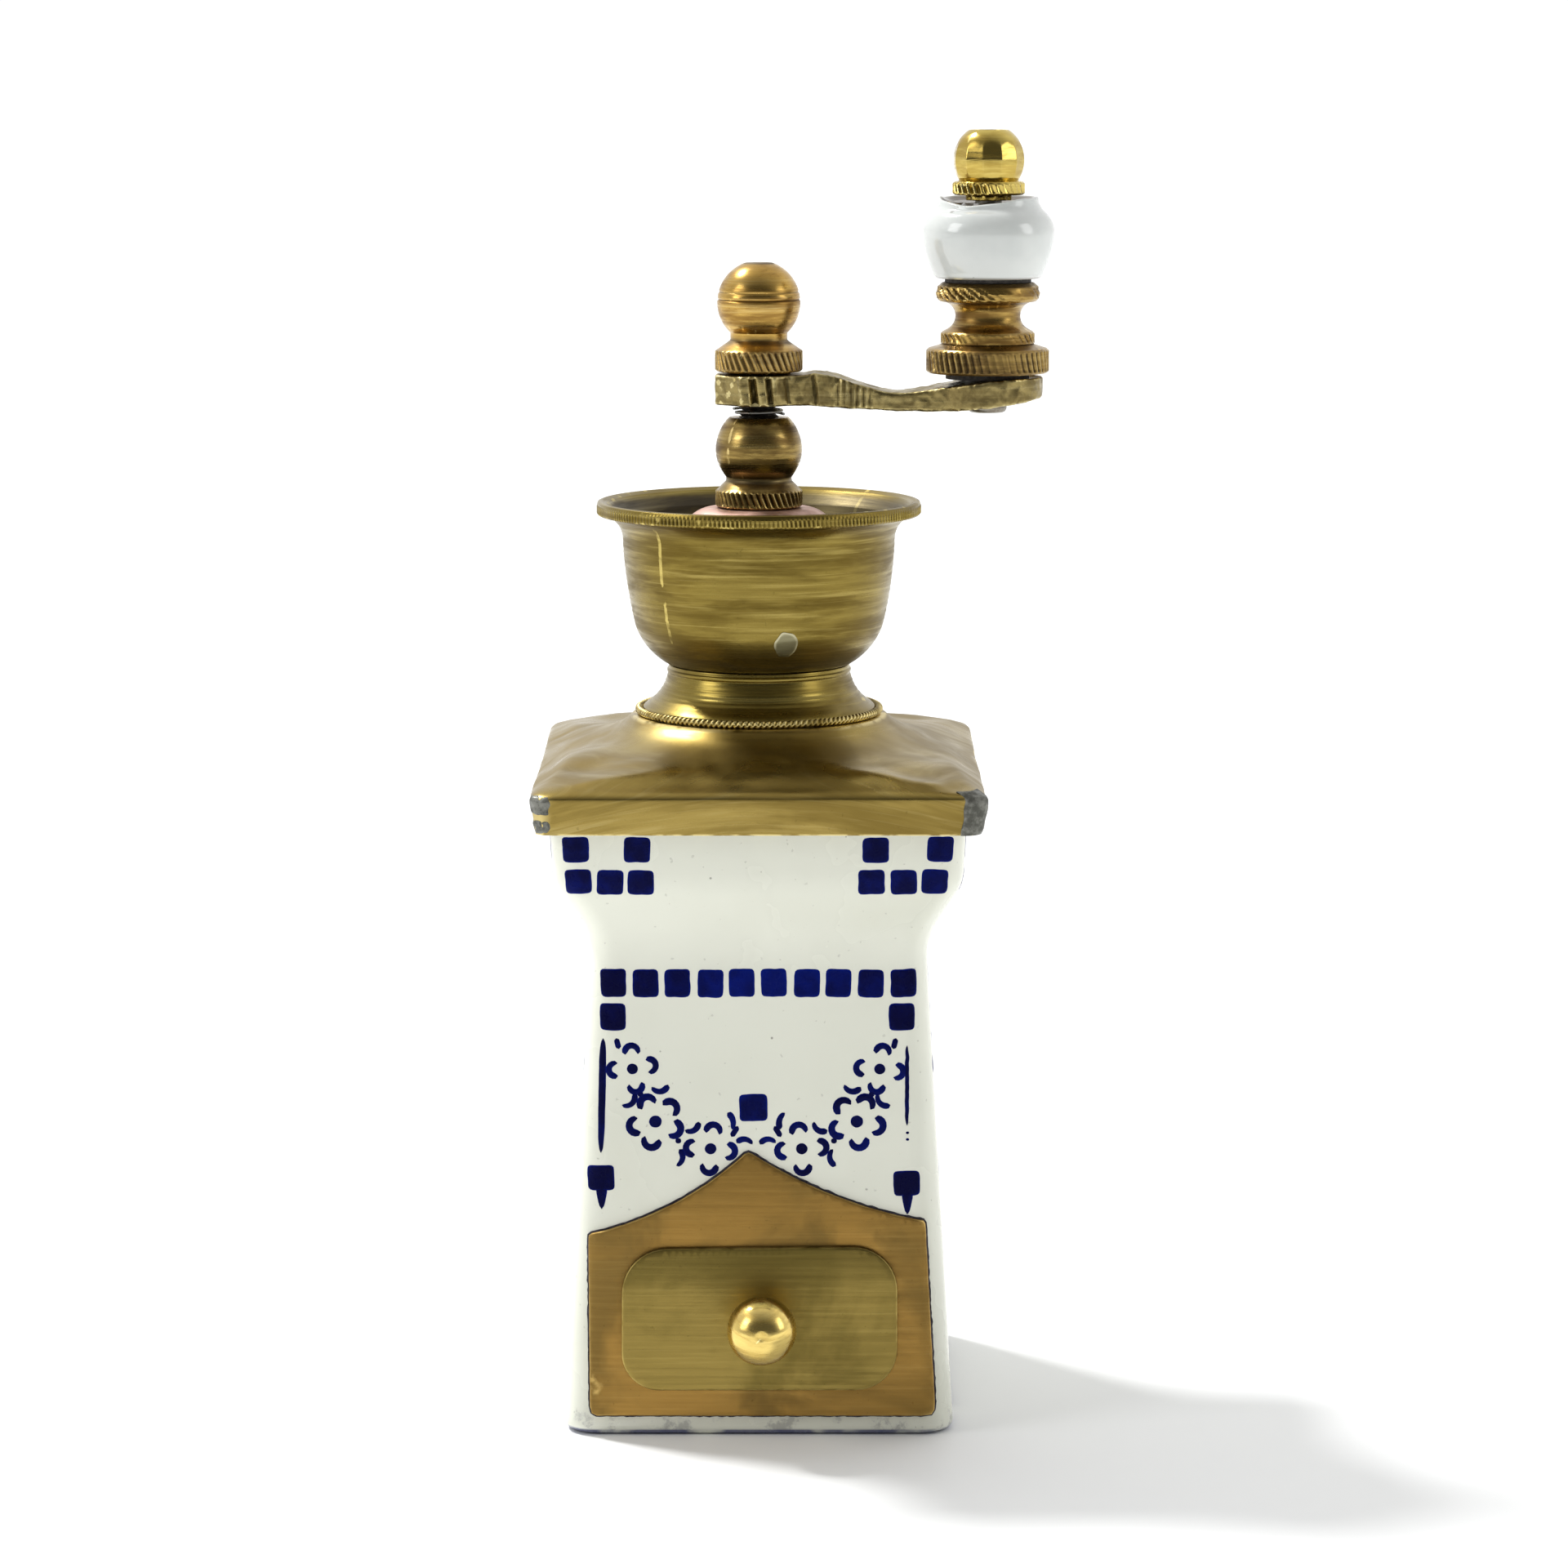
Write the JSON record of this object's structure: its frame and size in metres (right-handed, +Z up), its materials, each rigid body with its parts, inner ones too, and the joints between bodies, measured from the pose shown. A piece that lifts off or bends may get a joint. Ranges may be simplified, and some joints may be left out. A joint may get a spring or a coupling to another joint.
{
  "type": "hand crank coffee grinder",
  "caption": "Upright ceramic coffee mill: brass cap, neck and open hopper, cranked burr spindle with ball nuts and a spinning handle, and a sliding drawer behind a gabled front plate.",
  "frame": {"origin": "middle of the flat base, on the surface that the mill stands on", "axes": "+Z up along the spindle, the drawer faces -Y, and the crank points to +X at rest"},
  "size_m": [0.0781, 0.0763, 0.1935],
  "materials": {
    "body_glaze": "gloss",
    "bead_glaze": "gloss",
    "aged_brass": "satin",
    "plate_brass": "satin",
    "rivet_brass": "satin",
    "drawer_brass": "satin",
    "nut_brass": "satin",
    "spool_brass": "satin",
    "cast_brass": "satin",
    "polished_brass": "gloss",
    "tinplate": "satin",
    "dark_steel": "satin",
    "spring_steel": "satin",
    "solder": "satin",
    "copper": "satin",
    "burr_iron": "matte",
    "plaster": "matte",
    "fibre": "matte"
  },
  "bodies": {
    "mill_body": {"ceramic_body": "body_glaze", "drawer_escutcheon": "plate_brass", "escutcheon_rivet": "rivet_brass", "drawer_sleeve": "tinplate", "cap_shell": "aged_brass", "corner_solder": "solder", "cap_cement_bed": "plaster", "neck_pedestal": "aged_brass", "neck_bead_ring": "aged_brass", "hopper_bowl": "aged_brass", "hopper_bridge": "dark_steel", "bridge_rivets": "solder", "bridge_bush": "dark_steel", "thrust_washer": "copper", "ring_burr": "burr_iron", "lower_bearing_bridge": "dark_steel", "lower_bridge_screws": "dark_steel"},
    "adjuster": {"adjusting_nut": "nut_brass"},
    "lock": {"lock_spring": "spring_steel"},
    "spindle": {"drive_shaft": "dark_steel", "cone_burr": "burr_iron", "cone_burr_pin": "spring_steel", "spindle_spring": "spring_steel", "crank_arm": "cast_brass", "crank_ball_nut": "nut_brass", "handle_pin": "dark_steel", "handle_washer": "dark_steel", "handle_finial": "polished_brass"},
    "grip": {"handle_spool": "spool_brass", "bead_seat_washer": "fibre", "handle_bead": "bead_glaze"},
    "drawer": {"drawer_front": "drawer_brass", "drawer_box": "tinplate", "drawer_knob": "polished_brass", "drawer_knob_nut": "spring_steel"}
  },
  "joints": [
    {"name": "crank_spin", "type": "hinge", "parent": "mill_body", "child": "adjuster", "pos_m": [0, 0, 0.137], "axis": [0, 0, 1], "continuous": true},
    {"name": "grind_adjust", "type": "hinge", "parent": "adjuster", "child": "lock", "pos_m": [0, 0, 0.15], "axis": [0, 0, 1], "range_deg": [-180, 360]},
    {"name": "spindle_lift", "type": "slide", "parent": "lock", "child": "spindle", "axis": [0, 0, 1], "range_m": [-0.0005, 0.001], "deforming": ["lock_spring", "spindle_spring"]},
    {"name": "handle_spin", "type": "hinge", "parent": "spindle", "child": "grip", "pos_m": [0.0345, 0, 0.1572], "axis": [0, 0, 1], "continuous": true},
    {"name": "drawer_slide", "type": "slide", "parent": "mill_body", "child": "drawer", "axis": [0, -1, 0], "range_m": [0, 0.04]}
  ],
  "couplings": [
    {"joint": "grind_adjust", "follows": "spindle_lift", "rad_per_m": 6283.2}
  ]
}
